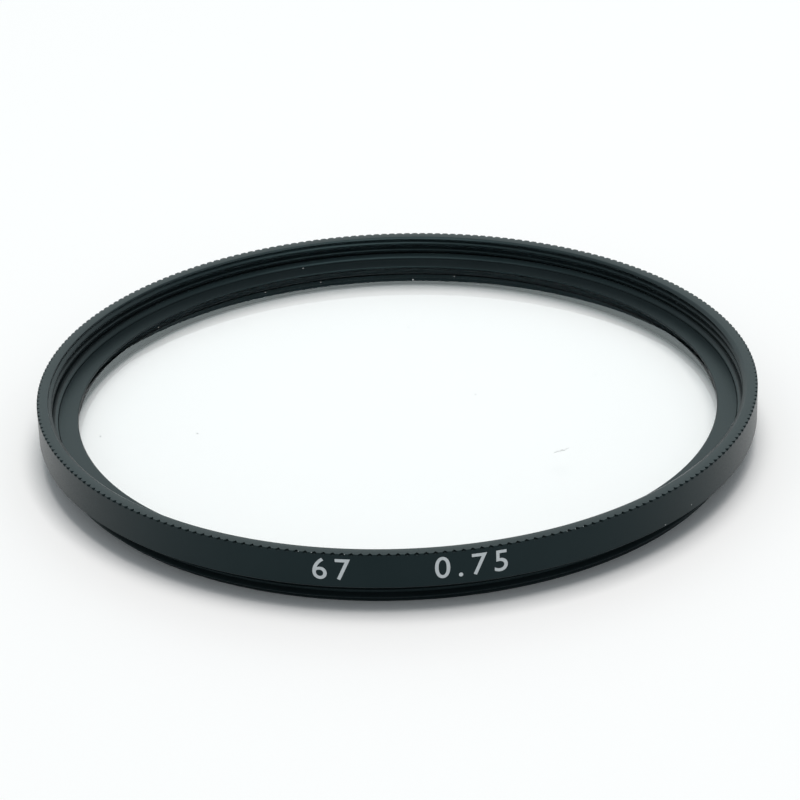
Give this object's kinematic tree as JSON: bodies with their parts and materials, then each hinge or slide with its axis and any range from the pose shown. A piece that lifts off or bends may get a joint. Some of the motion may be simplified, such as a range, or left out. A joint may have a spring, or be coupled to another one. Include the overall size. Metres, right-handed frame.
{
  "type": "screw-in lens filter",
  "caption": "Round screw-in camera lens filter: knurled black metal frame with a male thread behind, a female thread in front, and a clear glass disc held by a retaining ring",
  "frame": {"origin": "centre of the plane that the end of the rear male thread lies in, where the filter rests on a table", "axes": "+Z runs along the optical axis from the rear male thread to the front female thread; X and Y are radial"},
  "size_m": [0.07, 0.07, 0.0059],
  "materials": {
    "frame_metal": "satin black anodised, fine turned grain",
    "clear_glass": "polished clear optical glass, ground edge",
    "ring_metal": "matt black anodised"
  },
  "bodies": {
    "root": {"filter_frame": "frame_metal", "filter_glass": "clear_glass", "retaining_ring": "ring_metal"}
  },
  "joints": []
}
